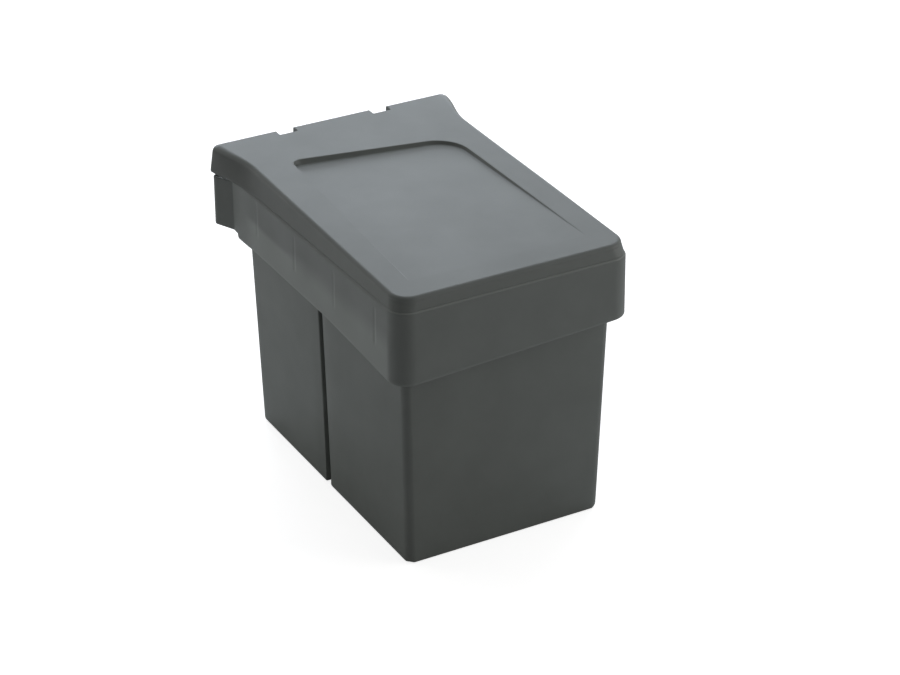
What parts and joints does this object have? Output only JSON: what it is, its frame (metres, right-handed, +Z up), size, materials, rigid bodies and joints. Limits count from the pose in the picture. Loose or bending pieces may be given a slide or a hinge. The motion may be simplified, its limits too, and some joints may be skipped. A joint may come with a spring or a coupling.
{
  "type": "door-mounted trash bin",
  "caption": "Cupboard-door waste unit: hooked-on frame with a flared hinged lid over lift-out bins with lifting bails.",
  "frame": {"origin": "middle of the door bracket's back face, which lies on the door", "axes": "+Y into the door, so the bins stand out towards -Y; +Z up; +X across the unit, to the right when seen from its free front end"},
  "size_m": [0.2714, 0.378, 0.2979],
  "materials": {
    "zinc_steel": "zinc-plated sheet steel, satin",
    "frame_plastic": "grey polypropylene, fine satin grain",
    "lid_plastic": "grey polypropylene, fine satin grain",
    "pin_steel": "bright drawn steel",
    "bin_plastic": "grey polypropylene, fine satin grain",
    "bail_plastic": "grey polypropylene, satin"
  },
  "bodies": {
    "door_bracket": {"door_bracket": "zinc_steel"},
    "frame": {"frame": "frame_plastic", "hinge_pin_left": "pin_steel", "hinge_pin_right": "pin_steel"},
    "lid": {"lid": "lid_plastic"},
    "front_bin": {"front_bin": "bin_plastic"},
    "rear_bin": {"rear_bin": "bin_plastic"},
    "front_bail": {"front_bin_bail": "bail_plastic"},
    "rear_bail": {"rear_bin_bail": "bail_plastic"}
  },
  "joints": [
    {"name": "frame_lift", "type": "slide", "parent": "door_bracket", "child": "frame", "axis": [0, 0, 1], "range_m": [0, 0.014]},
    {"name": "lid_hinge", "type": "hinge", "parent": "frame", "child": "lid", "pos_m": [0, -0.0108, 0.048], "axis": [-1, 0, 0], "range_deg": [0, 88]},
    {"name": "front_bin_lift", "type": "slide", "parent": "frame", "child": "front_bin", "axis": [0, 0, 1], "range_m": [0, 0.01]},
    {"name": "rear_bin_lift", "type": "slide", "parent": "frame", "child": "rear_bin", "axis": [0, 0, 1], "range_m": [0, 0.01]},
    {"name": "front_bail_swing", "type": "hinge", "parent": "front_bin", "child": "front_bail", "pos_m": [0, -0.2771, 0.011], "axis": [-1, 0, 0], "range_deg": [0, 12]},
    {"name": "rear_bail_swing", "type": "hinge", "parent": "rear_bin", "child": "rear_bail", "pos_m": [0, -0.1129, 0.011], "axis": [1, 0, 0], "range_deg": [0, 12]}
  ]
}
